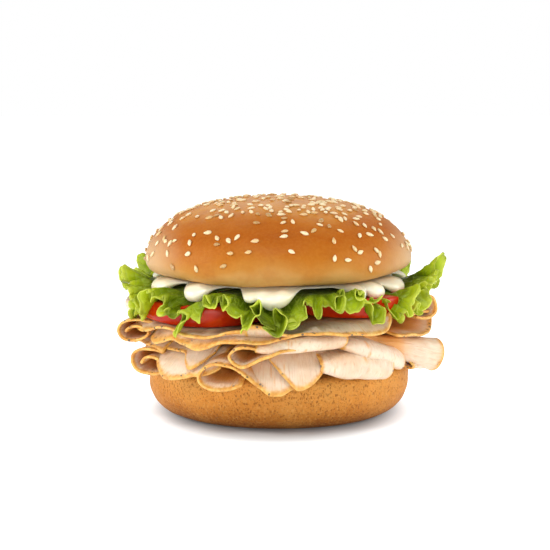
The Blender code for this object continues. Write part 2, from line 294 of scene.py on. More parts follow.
def makeFloor():
    look, tree, surface = startLook("paleFloor")
    setSurface(surface, Base_Color=floor["colour"], Roughness=0.9, Emission_Color=(1, 1, 1, 1))
    # painted shadow: the floor is held dark near the sandwich and glows white further out; the real shadow
    # shows inside the patch
    place = objectPlace(tree, (floor["squeeze"], 1.0, 1.0))
    away = addNode(tree, "ShaderNodeVectorMath", {0: place}, operation="LENGTH").outputs["Value"]
    tree.links.new(span(tree, away, *floor["shade"], *floor["glow"]), surface.inputs["Emission Strength"])
    shape = bmesh.new()
    bmesh.ops.create_grid(shape, x_segments=1, y_segments=1, size=floor["half"])
    mesh = bpy.data.meshes.new("floor")
    shape.to_mesh(mesh)
    shape.free()
    mesh.materials.append(look)
    made = bpy.data.objects.new("floor", mesh)
    bpy.context.scene.collection.objects.link(made)


# Crown

crownLow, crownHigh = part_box("bun_crown")
crown = {
    "radius": (crownHigh.x - crownLow.x) / 2.0,
    "base": crownLow.z,
    "lip": 4.6 * mm,  # height of the widest line over the cut face
    "tuck": 1.1,  # how far the lip turns in, as a share of its height
    "fullness": (0.86, 0.98),  # powers under 1 fill the dome out, sideways and upwards
    "steps": 180,
    "wrinkle": 0.05 * mm,
    "dent": Vector((-1.0, -41.0, 72.5)) * mm,
    "dentDepth": 1.2 * mm,
    "dentReach": 12.0 * mm,
    # heading, half width in degrees and lift in mm of the places where the lower lip rises or hangs
    "lipLifts": ((72, 42, 1.3), (-22, 34, -0.9), (150, 50, 0.4)),
}


def crownPoint(turn):  # radius and height on the dome, with turn 0 at the top and 90 at the widest line
    angle = math.radians(turn)
    sideways, upwards = crown["fullness"]
    rise = crownHigh.z - crown["base"] - crown["lip"]
    radius = crown["radius"] * max(math.sin(angle), 0.0) ** sideways
    return radius, crown["base"] + crown["lip"] + rise * max(math.cos(angle), 0.0) ** upwards


def crownProfile():
    points = [(0.0, crownHigh.z)]
    points += [crownPoint(90.0 * k / 70) for k in range(1, 71)]
    for angle in quarter(15)[1:]:
        inward = crown["lip"] * crown["tuck"] * (1.0 - math.cos(angle))
        points.append((crown["radius"] - inward, crown["base"] + crown["lip"] * (1.0 - math.sin(angle))))
    edge = points[-1][0]
    points += [(edge * share, crown["base"]) for share in (0.95, 0.85, 0.6, 0.3, 0.0)]
    return points


def crownUneven(point):  # how far the skin stands out of the turned shape
    heading = math.degrees(math.atan2(point.x, -point.y))
    up = (point.z - crown["base"]) / (crownHigh.z - crown["base"])
    out = 0.45 * mm * ripple(point, 26 * mm, 3.1) + 0.16 * mm * ripple(point, 8 * mm, 5.7)
    out -= crown["dentDepth"] * ease(1.0 - (point - crown["dent"]).length / crown["dentReach"])
    out += crown["wrinkle"] * ripple((point.x, point.y, point.z * 2.5), 1.6 * mm, 9.0)
    out += 0.3 * mm * math.sin(math.radians(3.0 * heading + 60.0)) * (1.0 - up)
    return out


def crownDroop(point):  # how far the lower lip hangs or lifts round the rim
    heading = math.degrees(math.atan2(point.x, -point.y))
    low = ease((crown["base"] + 14.0 * mm - point.z) / (13.0 * mm))
    wide = ease((math.hypot(point.x, point.y) - 20.0 * mm) / (25.0 * mm))
    lift = sum(high * hump(heading, middle, half) for middle, half, high in crown["lipLifts"])
    return lift * mm * low * wide


def crownLook():
    look, tree, surface = startLook("crownCrust")
    place = objectPlace(tree)
    parts = addNode(tree, "ShaderNodeSeparateXYZ", {"Vector": place}).outputs
    patchy = grain(tree, place, 38.0, 3.0)
    blotchy = grain(tree, place, 120.0, 4.0)
    height = sums(tree, "ADD", parts["Z"], centred(tree, patchy, 0.016))
    # the crust browns from the pale lip up the dome; the lightest stop at the top is a painted highlight
    browned = span(tree, height, 0.0530, 0.0840)
    colour = shades(tree, browned, (
        (0.0, (0.52, 0.29, 0.085)),
        (0.10, (0.46, 0.195, 0.032)),
        (0.28, (0.43, 0.138, 0.009)),
        (0.60, (0.40, 0.098, 0.004)),
        (0.82, (0.46, 0.140, 0.012)),
        (1.0, (0.62, 0.270, 0.045)),
    ))
    colour = tint(tree, span(tree, blotchy, 0.40, 0.75, 0.0, 0.40), colour, (0.34, 0.085, 0.006))
    # painted shade: the crust is darker in and round the dent
    values = {0: place, 1: crown["dent"]}
    near = addNode(tree, "ShaderNodeVectorMath", values, operation="DISTANCE").outputs["Value"]
    near = sums(tree, "ADD", near, centred(tree, blotchy, 0.012))
    colour = tint(tree, span(tree, near, 0.017, 0.006, 0.0, 0.55), colour, (0.38, 0.085, 0.002))
    fine = grain(tree, place, 900.0, 3.0)
    colour = tint(tree, span(tree, fine, 0.3, 0.8, 0.0, 0.20), colour, (0.58, 0.24, 0.040))
    # painted highlight: the lower flanks are lighter towards the left and right, where the side lamps fall
    pale = sums(tree, "ABSOLUTE", parts["X"])
    pale = sums(tree, "ADD", pale, sums(tree, "MULTIPLY", patchy, 0.012))
    pale = sums(tree, "MULTIPLY", span(tree, pale, 0.040, 0.058), span(tree, parts["Z"], 0.080, 0.062))
    colour = tint(tree, sums(tree, "MULTIPLY", pale, 0.60), colour, (0.72, 0.53, 0.31))
    tree.links.new(colour, surface.inputs["Base Color"])
    setSurface(surface, Roughness=0.46, Specular_IOR_Level=0.12)
    setSurface(surface, Subsurface_Weight=0.05, Subsurface_Scale=0.002, Subsurface_Radius=(1.0, 0.5, 0.2))
    skin = sums(tree, "ADD", grain(tree, place, 520.0, 4.0), sums(tree, "MULTIPLY", fine, 0.5))
    relief(tree, surface, skin, 0.5, 0.0003)
    return look


def makeCrown():
    shape = turned(crownProfile(), crown["steps"])
    for vert in shape.verts:
        if vert.co.z > crown["base"] + 0.02 * mm:
            vert.co += vert.normal * crownUneven(vert.co)
        vert.co.z += crownDroop(vert.co)
    finish("crown", shape, crownLook(), ["bun_crown"])


# Sesame seeds

seeds = {
    "count": 340,
    "length": 3.1 * mm,
    "width": 1.8 * mm,
    "height": 1.0 * mm,
    "gap": 2.2 * mm,
    "proud": 0.3 * mm,  # how far a seed's middle stands off the crust
}


def crownSpot(turn, heading):  # a point on the uneven dome and the way out of it
    radius, height = crownPoint(turn)
    spot = at(heading, radius, height)
    ahead = Vector(at(heading, *crownPoint(turn + 1.0))) - Vector(at(heading, *crownPoint(turn - 1.0)))
    side = at(heading + 90.0, 1.0, 0.0)
    out = side.cross(ahead).normalized()
    if out.z < 0.0:
        out.negate()
    spot += out * crownUneven(spot)
    spot.z += crownDroop(spot)
    return spot, out


def seedsWanted(turn, heading):  # share of the full density at a place on the dome
    wanted = blend(0.85, 0.26, ease((turn - 20.0) / 44.0))
    wanted *= 0.75 + 0.5 * ripple(at(heading, turn * mm, 0.0), 16 * mm, 2.0)
    wanted += 0.35 * hump(heading, 45.0, 50.0) * ease((66.0 - turn) / 30.0)
    wanted *= 1.0 - 0.8 * ease((turn - 76.0) / 8.0)
    return wanted


def addSeed(shape, layers, spot, out, spin, size, tone):
    made = bmesh.ops.create_uvsphere(shape, u_segments=12, v_segments=6, radius=1.0)["verts"]
    frameOf = out.to_track_quat("Z", "Y").to_matrix().to_4x4() @ Matrix.Rotation(spin, 4, "Z")
    for vert in made:
        x, y, z = vert.co
        vert[layers["edge"]] = math.hypot(x, y) ** 3
        vert[layers["tone"]] = tone
        taper = 1.0 - 0.42 * ease((x + 0.2) / 1.2)  # one end runs to a point
        sized = (x * seeds["length"], y * taper * seeds["width"], z * taper**0.5 * seeds["height"])
        vert.co = Matrix.Translation(spot) @ frameOf @ (Vector(sized) * 0.5 * size)


def seedLook():
    look, tree, surface = startLook("sesame")
    place = objectPlace(tree)
    tone = mark(tree, "tone")
    colour = shades(tree, tone, (
        (0.0, (0.86, 0.72, 0.46)),
        (0.55, (0.80, 0.62, 0.34)),
        (0.85, (0.66, 0.43, 0.17)),
        (1.0, (0.42, 0.22, 0.06)),
    ))
    # each seed is darker towards its rim
    rimDarker = sums(tree, "MULTIPLY", span(tree, mark(tree, "edge"), 0.45, 1.0), 0.45)
    colour = tint(tree, rimDarker, colour, (0.55, 0.30, 0.09))
    streak = grain(tree, place, 1500.0, 2.0)
    colour = tint(tree, span(tree, streak, 0.45, 0.8, 0.0, 0.3), colour, (0.93, 0.84, 0.62))
    tree.links.new(colour, surface.inputs["Base Color"])
    setSurface(surface, Roughness=0.36, Subsurface_Weight=0.12, Subsurface_Scale=0.001)
    relief(tree, surface, streak, 0.2, 0.0001)
    return look


def makeSeeds():
    rng = random.Random(11)
    shape = bmesh.new()
    layers = {name: shape.verts.layers.float.new(name) for name in ("edge", "tone")}
    placed = []
    while len(placed) < seeds["count"]:
        turn = math.degrees(math.acos(rng.random()))
        heading = rng.uniform(-180.0, 180.0)
        if rng.random() > seedsWanted(turn, heading):
            continue
        spot, out = crownSpot(turn, heading)
        gap = seeds["gap"] * rng.choice((0.75, 1.0, 1.0, 1.3))
        if any((spot - other).length < gap for other in placed):
            continue
        placed.append(spot)
        lean = Vector((rng.uniform(-0.2, 0.2), rng.uniform(-0.2, 0.2), rng.uniform(-0.2, 0.2)))
        size = rng.uniform(0.86, 1.1)
        tone = rng.random() ** 1.6
        spin = rng.uniform(0, math.tau)
        addSeed(shape, layers, spot + out * seeds["proud"], (out + lean).normalized(), spin, size, tone)
    finish("sesameSeeds", shape, seedLook())


# Heel

heelLow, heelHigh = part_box("bun_heel")
heel = {
    "radius": (heelHigh.x - heelLow.x) / 2.0,
    "foot": 39.0 * mm,
    "corner": 12.0 * mm,
    "shoulder": 3.0 * mm,
    "steps": 420,
    "pit": 0.22 * mm,  # depth of the pores
    "pore": 1.7 * mm,  # how far apart they lie
    "poreReach": 0.42,  # size of a pore as a share of that
}


def heelProfile():
    points = [(heel["foot"] * share, 0.0) for share in (0.0, 0.3, 0.6, 0.85, 0.95)]
    for angle in quarter(30):
        radius = heel["foot"] + (heel["radius"] - heel["foot"]) * math.sin(angle)
        points.append((radius, heel["corner"] * (1.0 - math.cos(angle))))
    side = heelHigh.z - heel["shoulder"] - heel["corner"]
    points += [(heel["radius"], heel["corner"] + side * k / 9) for k in range(1, 9)]
    for angle in quarter(10):
        inward = heel["shoulder"] * (1.0 - math.cos(angle))
        points.append((heel["radius"] - inward, heelHigh.z - heel["shoulder"] * (1.0 - math.sin(angle))))
    edge = points[-1][0]
    return points + [(edge * share, heelHigh.z) for share in (0.95, 0.8, 0.5, 0.0)]


def heelUneven(point):
    out = 0.35 * mm * ripple(point, 24 * mm, 7.7) + 0.14 * mm * ripple(point, 5 * mm, 1.3)
    stretched = Vector((point.x, point.y, point.z * 0.75)) / heel["pore"]
    near = noise.voronoi(stretched)[0][0]
    deep = 0.5 + 0.5 * ripple(point, 3.0 * mm, 4.4)
    return out - heel["pit"] * deep * ease(1.0 - near / heel["poreReach"])


def heelLook():
    look, tree, surface = startLook("heelCrust")
    place = objectPlace(tree)
    parts = addNode(tree, "ShaderNodeSeparateXYZ", {"Vector": place}).outputs
    patchy = grain(tree, place, 45.0, 3.0)
    height = sums(tree, "ADD", parts["Z"], centred(tree, patchy, 0.008))
    colour = shades(tree, span(tree, height, 0.0, 0.020), (
        (0.0, (0.30, 0.092, 0.010)),
        (0.22, (0.43, 0.145, 0.016)),
        (0.60, (0.57, 0.215, 0.030)),
        (1.0, (0.63, 0.270, 0.048)),
    ))
    colour = tint(tree, span(tree, patchy, 0.45, 0.72, 0.0, 0.5), colour, (0.60, 0.28, 0.060))
    tall = objectPlace(tree, (1, 1, 0.62))
    pores = cells(tree, tall, 1000.0)
    small = cells(tree, tall, 1800.0)
    some = grain(tree, place, 260.0, 2.0)
    pit = sums(tree, "MULTIPLY", span(tree, pores, 0.36, 0.14), span(tree, some, 0.30, 0.55))
    pitSmall = span(tree, small, 0.34, 0.12, 0.0, 0.8)
    pits = sums(tree, "MAXIMUM", pit, pitSmall)
    # painted shade: the pores are darker
    colour = tint(tree, sums(tree, "MULTIPLY", pits, 0.62), colour, (0.24, 0.062, 0.006))
    raised = span(tree, grain(tree, tall, 1100.0, 2.0), 0.45, 0.75, 0.0, 0.30)
    colour = tint(tree, raised, colour, (0.72, 0.38, 0.10))
    tree.links.new(colour, surface.inputs["Base Color"])
    setSurface(surface, Roughness=0.66, Specular_IOR_Level=0.18)
    setSurface(surface, Subsurface_Weight=0.04, Subsurface_Scale=0.002)
    bumps = sums(tree, "SUBTRACT", sums(tree, "MULTIPLY", grain(tree, place, 700.0, 3.0), 0.6), pits)
    relief(tree, surface, bumps, 0.8, 0.0005)
    return look


def makeHeel():
    shape = turned(heelProfile(), heel["steps"])
    for vert in shape.verts:
        if 0.05 * mm < vert.co.z < heelHigh.z - 0.05 * mm:
            vert.co += vert.normal * heelUneven(vert.co) * ease(vert.co.z / (1.2 * mm))
    finish("heel", shape, heelLook(), ["bun_heel"])


# Tomato

tomatoes = {  # thickness, forward tilt in degrees
    "tomato_left": (7.6 * mm, 5.0),
    "tomato_right": (6.9 * mm, 2.0),
    "tomato_back": (6.8 * mm, 0.0),
}
tomatoEdge = {
    "belly": 1.3 * mm,  # how far the skin bulges
    "skin": 0.9 * mm,
    "fade": 1.2 * mm,  # width over which the skin turns to flesh
    "pucker": 0.35 * mm,
    "steps": 120,
}


def tomatoPlace(node):
    low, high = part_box(node)
    radius = (high.x - low.x) / 2.0
    thickness, tilt = tomatoes[node]
    middle = Vector(((low.x + high.x) / 2.0, (low.y + high.y) / 2.0, 0.0))
    middle.z = (low.z + high.z) / 2.0 - thickness / 2.0
    return middle, radius, thickness, tilt


def tomatoLook():
    look, tree, surface = startLook("tomato")
    place = objectPlace(tree)
    flesh = mark(tree, "flesh")
    streaks = grain(tree, place, 160.0, 4.0, distortion=0.6)
    skin = shades(tree, streaks, (
        (0.30, (0.42, 0.012, 0.001)),
        (0.55, (0.57, 0.028, 0.001)),
        (0.80, (0.66, 0.075, 0.005)),
    ))
    dots = span(tree, cells(tree, place, 520.0), 0.16, 0.05, 0.0, 0.5)
    skin = tint(tree, sums(tree, "MULTIPLY", dots, span(tree, streaks, 0.45, 0.6)), skin, (0.75, 0.30, 0.08))
    inside = shades(tree, grain(tree, place, 240.0, 4.0), (
        (0.35, (0.50, 0.035, 0.012)),
        (0.62, (0.66, 0.10, 0.035)),
        (0.80, (0.72, 0.20, 0.08)),
    ))
    colour = tint(tree, flesh, skin, inside)
    tree.links.new(colour, surface.inputs["Base Color"])
    setSurface(surface, Roughness=0.24, Specular_IOR_Level=0.22, Coat_Weight=0.06, Coat_Roughness=0.10)
    setSurface(surface, Subsurface_Weight=0.06, Subsurface_Scale=0.003, Subsurface_Radius=(1.0, 0.15, 0.08))
    relief(tree, surface, grain(tree, place, 420.0, 3.0), 0.16, 0.0004)
    return look


def makeTomatoes():
    look = tomatoLook()
    for node in tomatoes:
        middle, radius, thickness, tilt = tomatoPlace(node)
        profile = [(radius * share, 0.0) for share in (0.0, 0.2, 0.4, 0.6, 0.8, 0.9)]
        for k in range(17):
            angle = math.radians(-90.0 + 180.0 * k / 16)
            swell = abs(math.cos(angle)) ** 0.6
            inward = tomatoEdge["belly"] * (1.0 - swell)
            profile.append((radius - inward, thickness * (0.5 + 0.5 * math.sin(angle))))
        profile += [(radius * share, thickness) for share in (0.9, 0.8, 0.6, 0.4, 0.2, 0.0)]
        shape = turned(profile, tomatoEdge["steps"])
        flesh = shape.verts.layers.float.new("flesh")
        lean = Matrix.Rotation(math.radians(tilt), 4, "X")
        for vert in shape.verts:
            out = math.hypot(vert.co.x, vert.co.y)
            vert[flesh] = ease((radius - tomatoEdge["skin"] - out) / tomatoEdge["fade"])
            heading = math.atan2(vert.co.y, vert.co.x)
            lobe = 1.0 + 0.012 * math.sin(5.0 * heading + middle.x * 100)
            pucker = tomatoEdge["pucker"] * vert[flesh] * ripple(vert.co + middle, 5 * mm, 2.2)
            grown = Vector((vert.co.x * lobe, vert.co.y * lobe, vert.co.z + pucker))
            vert.co = middle + lean @ grown
        finish(node.replace("tomato_", "tomatoSlice_"), shape, look, [node])


# Turkey. A slice is laid out by its rim, as heading in degrees and height in mm. From there it runs in to its
# place in the pile, between the heel and the tomato

pile = {
    "base": heelHigh.z + 1.1 * mm,
    "topGap": 1.1 * mm,
    "lowRim": 16.5 * mm,  # height of the lowest rim
    "overhang": 1.2 * mm,  # how far the highest rim hangs under its slice
    "fallStart": 43.0 * mm,  # radius where a slice starts to fall to its rim
    "lateFall": 50.5 * mm,  # the same for a slice whose crest is over the top of the pile
    "wavyFrom": 42.0 * mm,  # radius where a slice starts to wave, and the length over which its waves grow
    "wavyOver": 12.0 * mm,
    "slice": 1.05 * mm,
    "paintedShadeFade": 8.0,  # length in mm over which the painted shade grows in behind a slice's pale rim
    "flapUnshaded": 12.0,  # mm behind the rim of a flap that stay free of the painted shade
    "openUnshaded": 1.5,  # and behind the rim of an open fold
    "sideBend": 1.15,  # how far out a side fold's bend stands, as a share of half its height
    "bendShare": 0.3,  # share of a side fold's grid that goes round its bend
}
tomatoFloors = {node: tomatoPlace(node) for node in tomatoes}


def floorOver(x, y):
    left, right = tomatoFloors["tomato_left"], tomatoFloors["tomato_right"]
    lowLeft = left[0].z + (y - left[0].y) * math.tan(math.radians(left[3]))
    lowRight = right[0].z + (y - right[0].y) * math.tan(math.radians(right[3]))
    lowLeft = min(lowLeft, right[0].z)
    return blend(lowLeft, lowRight, ease(x / (26.0 * mm) + 0.2))


def drape(heading, radius, rim, height, crest=0.0):
    # the place on a slice at a radius, for a rim at the given radius and height; a flap hangs from its crest
    spot = at(heading, radius, 0.0)
    top = floorOver(spot.x, spot.y) - pile["topGap"]
    high = max(height, crest)
    level = (high - pile["lowRim"]) / (top - pile["overhang"] - pile["lowRim"])
    home = blend(pile["base"], top, min(max(level, 0.0), 1.0))
    start = blend(pile["fallStart"], pile["lateFall"], ease((level - 1.0) / 0.12))
    fall = min(max((radius - start) / max(rim - start, 1.0 * mm), 0.0), 1.0)
    spot.z = blend(home, high, fall**1.5) - (high - height) * fall**1.8
    outer = ease((radius - pile["wavyFrom"]) / pile["wavyOver"])
    spot.z += outer * 0.5 * mm * ripple(spot, 8 * mm, 6.0)
    return spot


# Open folds and hanging flaps: reach, start, width of the browned edge, height of the crest that a flap hangs
# from, or 0, how much nearer the middle a flap's sides end than its tip, and the rim
endFolds = {
    "turkey_01": (59.5, 12.0, 1.0, 42.0, 0.0, (
        (-13, 41.0), (-8, 41.5), (-3, 40.3), (1, 38.7), (6, 38.0), (14, 38.2), (22, 37.4), (30, 36.8),
        (37, 36.3), (42, 36.8), (45, 39.0), (46.5, 42.0), (46, 44.0),
    )),
    "turkey_02": (58.5, 14.0, 1.3, 41.0, 0.0, (
        (-62, 42.0), (-67, 38.8), (-71, 36.0), (-64, 34.6), (-57, 35.4), (-51, 37.2), (-45, 37.9),
        (-40, 37.2), (-35, 35.8), (-29, 35.6), (-24, 37.0), (-18, 38.8), (-12, 39.2),
    )),
    "turkey_03": (58.0, 10.0, 1.7, 38.0, 0.0, (
        (-62, 31.5), (-56, 30.7), (-50, 31.5), (-43, 33.6), (-38, 32.6), (-32, 30.8), (-27, 31.8),
        (-22, 34.2), (-15, 34.8), (-8, 34.7), (-1, 35.8), (5, 37.4), (12, 37.8),
    )),
    "turkey_04": (59.0, 24.0, 1.6, 0.0, 0.0, (
        (13, 31.8), (7, 32.4), (1, 32.0), (-4, 29.8), (-9, 27.4), (-13, 25.8), (-16, 26.6), (-18, 29.6),
        (-15.5, 32.4), (-11, 32.8), (-5, 31.8),
    )),
    "turkey_05": (58.5, 26.0, 2.0, 0.0, 0.0, (
        (-14, 18.8), (-19, 17.2), (-25, 17.0), (-29.5, 18.8), (-30.5, 21.8), (-28, 24.8), (-23, 26.2),
        (-17, 25.4), (-12, 22.6), (-8, 19.0), (-4, 16.3),
    )),
    "turkey_06": (58.0, 20.0, 1.2, 26.5, 7.0, (
        (-13, 25.0), (-10, 21.0), (-7, 18.0), (-3.5, 16.0), (0.5, 15.8), (4, 17.2), (8, 19.6), (12, 22.5),
    )),
    "turkey_07": (60.0, 24.0, 1.1, 30.5, 7.0, (
        (-4, 27.6), (-1, 25.0), (2.5, 21.6), (6.5, 18.0), (11, 19.4), (15.5, 22.8), (19, 26.6), (21, 29.4),
    )),
    "turkey_09": (60.0, 24.0, 1.8, 0.0, 0.0, (
        (50, 34.6), (57, 33.4), (66, 32.6), (75, 32.6), (83, 34.0), (86, 36.6), (81, 39.2), (72, 40.6),
        (62, 41.0),
    )),
    "turkey_14": (57.5, 14.0, 1.0, 30.0, 6.0, (
        (-58, 27.5), (-52, 28.6), (-46, 28.6), (-41, 28.2), (-38.5, 25.4), (-35, 23.2), (-31, 25.6),
        (-28, 29.0),
    )),
    "turkey_12": (57.0, 10.0, 1.0, 31.0, 3.0, (
        (-104, 27.5), (-94, 28.6), (-84, 27.0), (-74, 28.6), (-66, 28.4), (-59, 28.2), (-54, 27.0),
    )),
    "turkey_18": (58.5, 14.0, 1.2, 27.5, 6.0, (
        (-62, 24.5), (-56, 22.5), (-51, 20.4), (-46, 18.9), (-40, 19.2), (-34, 20.6), (-28, 21.8),
        (-24, 23.5),
    )),
    "turkey_20": (55.0, 12.0, 1.2, 41.0, 0.0, (
        (98, 38.5), (106, 38.0), (113, 39.2), (121, 38.8), (130, 37.6), (141, 39.0), (152, 38.4),
    )),
    "turkey_21": (59.0, 24.0, 1.8, 0.0, 0.0, (
        (152, 30.4), (143, 31.2), (134, 30.2), (125, 31.0), (116, 31.4), (108, 29.8), (106, 26.4),
        (112, 23.6), (122, 23.0), (133, 24.4), (143, 25.6),
    )),
    "turkey_22": (56.0, 12.0, 1.4, 41.0, 0.0, (
        (160, 38.8), (168, 37.4), (177, 38.6), (188, 39.4), (198, 37.8), (208, 37.2), (217, 39.0),
        (226, 38.4), (236, 37.2),
    )),
    "turkey_23": (59.5, 24.0, 2.0, 0.0, 0.0, (
        (206, 28.6), (198, 30.0), (189, 29.4), (180, 28.6), (174, 26.2), (173, 22.4), (178, 19.4),
        (187, 18.2), (196, 19.4), (204, 21.6),
    )),
    "turkey_24": (57.5, 12.0, 1.6, 34.5, 0.0, (
        (214, 31.0), (222, 32.4), (230, 31.0), (238, 29.4), (246, 31.0), (254, 30.4),
    )),
}
# Slices folded with their smooth bend outwards: reach, start, headings, middle heights at the two ends,
# half the fold's height, and how far the lower leaf stops short, in degrees
sideFolds = {
    "turkey_15": (58.0, 14.0, -9, 27, 32.2, 34.4, 2.3, 2.0),
    "turkey_16": (59.0, 14.0, 15, 50, 25.4, 21.6, 4.1, 6.0),
    "turkey_17": (57.0, 14.0, 24, 60, 33.2, 22.4, 3.0, 3.0),
    "turkey_19": (59.5, 14.0, -108, -66, 41.5, 43.0, 3.2, 5.0),
    "turkey_25": (55.5, 14.0, 103, 151, 34.4, 34.8, 1.9, 4.0),
    "turkey_26": (58.0, 14.0, 64, 104, 20.6, 19.0, 3.0, 4.0),
    "turkey_27": (57.0, 14.0, 108, 158, 19.4, 19.6, 3.0, 5.0),
    "turkey_28": (55.5, 14.0, 156, 212, 33.4, 34.0, 2.2, 5.0),
    "turkey_29": (57.0, 14.0, 200, 168, 17.6, 17.8, 1.5, 4.0),
    "turkey_30": (58.5, 14.0, 209, 254, 21.4, 20.8, 3.4, 5.0),
    "turkey_31": (56.5, 14.0, 217, 252, 35.4, 34.6, 1.5, 4.0),
    "turkey_32": (57.5, 14.0, 210, 254, 27.0, 27.0, 1.8, 4.0),
}
# Rolls and open loops: inner end, outer end, and the loop at the outer end as steps to its side and up, in mm,
# then how much of the loop's size is left at the inner end, and how far behind the rim it stays free of the
# painted shade
rolls = {
    "turkey_08": ((30, -34, 32.5), (60.0, -15.6, 24.0), (
        (1.0, -1.5), (3.6, -4.4), (0.5, -6.2), (-3.6, -4.6), (-5.2, 0.0), (-3.8, 4.2), (0.2, 5.6),
        (4.0, 4.0), (5.4, 0.2), (4.6, -2.8), (1.5, -4.8),
    ), 0.45, 14.0),
    "turkey_10": ((44, -6, 40.6), (57, -19, 42.2), (
        (-7.0, -2.6), (-2.0, -3.8), (2.0, -3.6), (4.8, -1.6), (5.0, 2.0), (2.4, 4.2), (-2.0, 4.4),
        (-6.0, 3.4),
    ), 0.8, 5.0),
    "turkey_11": ((-46, 4, 36.0), (-55, -24, 34.0), (
        (11.0, 3.0), (6.0, 3.9), (0.5, 4.3), (-4.6, 3.2), (-6.6, 0.2), (-5.0, -2.9), (-1.0, -3.7),
        (3.6, -2.8), (5.8, -0.4), (2.5, 1.6), (-2.0, 1.3), (-3.6, -0.4),
    ), 0.9, 1.0),
    "turkey_13": ((-40, -4, 25.5), (-51, -27, 22.5), (
        (8.5, 4.4), (4.0, 5.4), (-1.2, 5.0), (-4.8, 2.8), (-5.6, -0.6), (-3.4, -3.4), (0.2, -4.6),
        (4.8, -4.4), (8.0, -2.4), (7.4, 0.9), (4.0, 2.4), (0.5, 1.8), (-1.6, -0.6),
    ), 0.7, 1.0),
}


def evenSpots(points, steps):  # places along the fold's end that are equally far apart
    fine = 240
    path = [spline(points, i / fine) for i in range(fine + 1)]
    along = [0.0]
    for a, b in zip(path, path[1:]):
        along.append(along[-1] + math.dist(a, b))
    found = []
    i = 0
    for k in range(steps + 1):
        goal = along[-1] * k / steps
        while i < fine - 1 and along[i + 1] < goal:
            i += 1
        share = (goal - along[i]) / max(along[i + 1] - along[i], 1e-9)
        found.append((i + min(max(share, 0.0), 1.0)) / fine)
    return found, along[-1]


def sliceMarks(u, v, seed, length, depth, browned, pale=10.0):
    # edge is the distance to the cut edge as a share of the browned width, inside grows behind the rim, where
    # the slice is painted a deep orange as shade deep in folds and the pile, and the others run along the
    # slice
    away = min(min(u, 1.0 - u) * length, (1.0 - v) * depth)
    inside = ease(((1.0 - v) * depth - pale) / pile["paintedShadeFade"])
    edge = min(1.0, away / (browned * 2.0))
    return {"edge": edge, "along": u * length + seed * 7.0, "across": v * depth, "inside": inside}


def makeEndFold(name, reach, start, browned, crest, tongue, points, look, seed):
    across, along = 84, 26
    spots, length = evenSpots(points, across)
    lowest = min(height for heading, height in points)

    def place(u, v):
        heading, height = spline(points, spots[round(u * across)])
        ragged = 0.35 * ripple((heading * mm, seed * mm, 0.0), 5.5 * mm, 8.0)
        rim = reach - 3.0 * abs(2.0 * u - 1.0) ** 4 + ragged
        if crest > 0.0:
            rim -= tongue * min(max((height - lowest) / (crest - lowest), 0.0), 1.2)
        rim *= mm
        height += 0.35 * ripple((heading * mm * 1.6, height * mm, seed * mm), 8 * mm, 2.0)
        return drape(heading, blend(start * mm, rim, v**0.5), rim, height * mm, crest * mm)

    def marks(u, v):
        pale = pile["flapUnshaded"] if crest > 0.0 else pile["openUnshaded"]
        return sliceMarks(u, v**0.5, seed, length, 40.0, browned, pale)

    thicken(name, sheet(across, along, place, marks), look)


def makeSideFold(name, reach, start, first, last, heightFirst, heightLast, half, short, look, seed):
    across, along = 50, 44
    bend, share = half * pile["sideBend"] * mm, pile["bendShare"]

    def place(u, v):
        ragged = 0.6 * ripple((u * 0.04, seed * mm, 0.0), 7 * mm, 8.0)
        rim = (reach - 1.6 * abs(2.0 * u - 1.0) ** 3 + ragged) * mm
        leaf = 1.0 - 2.0 * v
        if abs(leaf) > share:
            radius = blend(rim - bend, start * mm, ((abs(leaf) - share) / (1.0 - share)) ** 1.6)
            side = math.copysign(1.0, leaf)
        else:
            turn = leaf / share * math.pi / 2.0
            radius = rim - bend + bend * math.cos(turn)
            side = math.sin(turn)
        end = last - math.copysign(short, last - first) * (0.5 - 0.5 * side)
        middle = blend(heightFirst, heightLast, u) + 0.7 * ripple((u * 0.03, seed * mm, 0.0), 9 * mm, 3.0)
        flat = 1.0 - 0.45 * ease(1.0 - u / 0.3)
        return drape(blend(first, end, u), radius, rim, (middle + side * half * flat) * mm)

    length = abs(last - first) * 0.95

    def marks(u, v):
        found = sliceMarks(u, 0.5, seed, length, 80.0, 1.2)
        found["across"] = v * 70.0
        # the leaves away from the bend get the painted shade
        found["inside"] = ease((abs(2.0 * v - 1.0) - 0.62) / 0.2)
        return found

    thicken(name, sheet(across, along, place, marks), look)


def makeRoll(name, inner, outer, loop, shrink, pale, look, seed):
    across, along = 96, 40
    spots, length = evenSpots(loop, across)
    start, end = Vector(inner) * mm, Vector(outer) * mm
    ahead = (end - start).normalized()
    side = Vector((0, 0, 1)).cross(ahead).normalized()
    up = ahead.cross(side)

    def place(u, v):
        aside, above = spline(loop, spots[round(u * across)])
        size = blend(shrink, 1.0, v**0.8) * mm
        spot = start.lerp(end, v) + side * aside * size + up * above * size * blend(0.7, 1.0, v)
        spot += ahead * 0.6 * mm * v * ripple((u * 0.04, seed * mm, 0.0), 6 * mm, 3.0)
        return spot + up * 0.4 * mm * ripple(spot, 7 * mm, 2.0)

    def marks(u, v):
        return sliceMarks(u, v, seed, length, (end - start).length / mm, 1.6, pale)

    thicken(name, sheet(across, along, place, marks), look)


def thicken(name, shape, look):
    made = finish(name.replace("turkey_", "turkeySlice_"), shape, look, [name])
    wall = made.modifiers.new("wall", "SOLIDIFY")
    wall.thickness = pile["slice"]
    wall.offset = 0.0
    soft = made.modifiers.new("soft", "SUBSURF")
    soft.levels = soft.render_levels = 1


